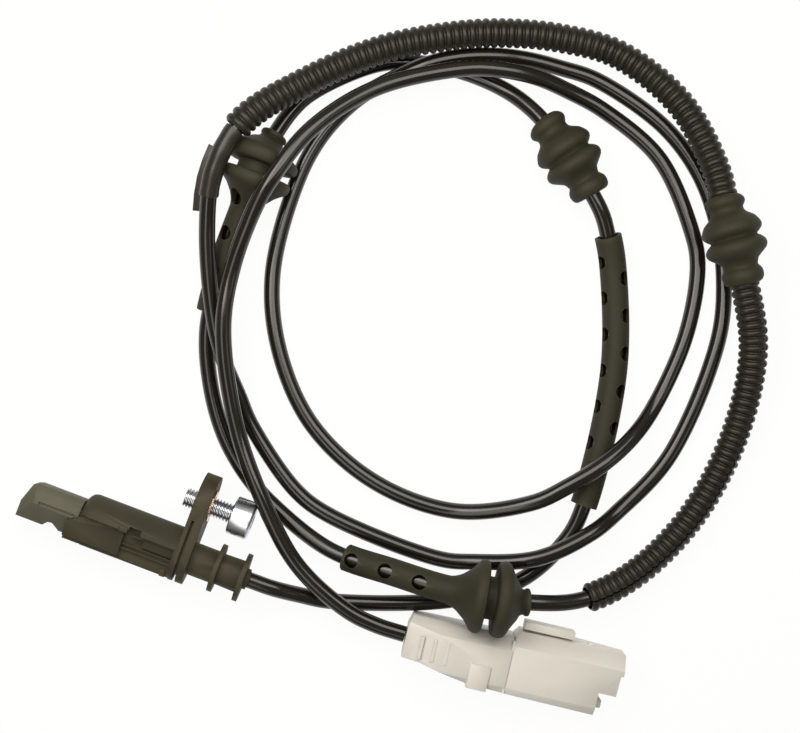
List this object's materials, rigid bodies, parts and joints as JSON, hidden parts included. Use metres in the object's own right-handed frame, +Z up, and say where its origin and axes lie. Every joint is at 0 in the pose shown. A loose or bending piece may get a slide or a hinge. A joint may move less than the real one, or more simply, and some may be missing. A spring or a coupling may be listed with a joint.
{
  "type": "wheel speed sensor",
  "caption": "Anti-lock brake wheel speed sensor with flange screw, long lead in corrugated conduit, rubber grommets, bellows and a pale grey connector",
  "frame": {"origin": "on the table, under the middle of the sensor head's own box, with the lead and connector left out", "axes": "sensor head lies with its nose towards -X and its lead leaving towards +X, ear of the flange towards +Y, +Z up from the table"},
  "size_m": [0.2009, 0.2024, 0.0275],
  "materials": {
    "nose_plastic": "satin moulded, lighter grey-brown",
    "black_plastic": "fine matt moulding",
    "bush_brass": "plain turned, brass tint",
    "zinc_steel": "bright zinc plate",
    "chip_resin": "moulded resin",
    "tinned_copper": "tin plate",
    "cable_jacket": "smooth glossy jacket",
    "black_rubber": "matt moulded rubber",
    "conduit_plastic": "smooth corrugated",
    "grey_plastic": "fine matt moulding, warm pale grey",
    "seal_rubber": "soft seal"
  },
  "bodies": {
    "root": {"sensor_nose": "nose_plastic", "sensor_housing": "black_plastic", "flange_bush": "bush_brass", "fixing_screw": "zinc_steel", "sensing_chip": "chip_resin", "lead_strip_1": "tinned_copper", "lead_strip_2": "tinned_copper", "lead_cable": "cable_jacket", "holed_sleeve": "black_rubber", "front_bellows": "black_rubber", "front_grommet": "black_rubber", "rear_grommet": "black_rubber", "lower_conduit": "conduit_plastic", "rear_bellows": "black_rubber", "upper_conduit": "conduit_plastic", "shrink_sleeve": "black_plastic", "tape_tail": "black_plastic", "connector_back_cover": "grey_plastic", "connector_housing": "grey_plastic", "connector_seal": "seal_rubber", "connector_pin_1": "tinned_copper", "connector_pin_2": "tinned_copper", "connector_lock": "grey_plastic"}
  },
  "joints": []
}
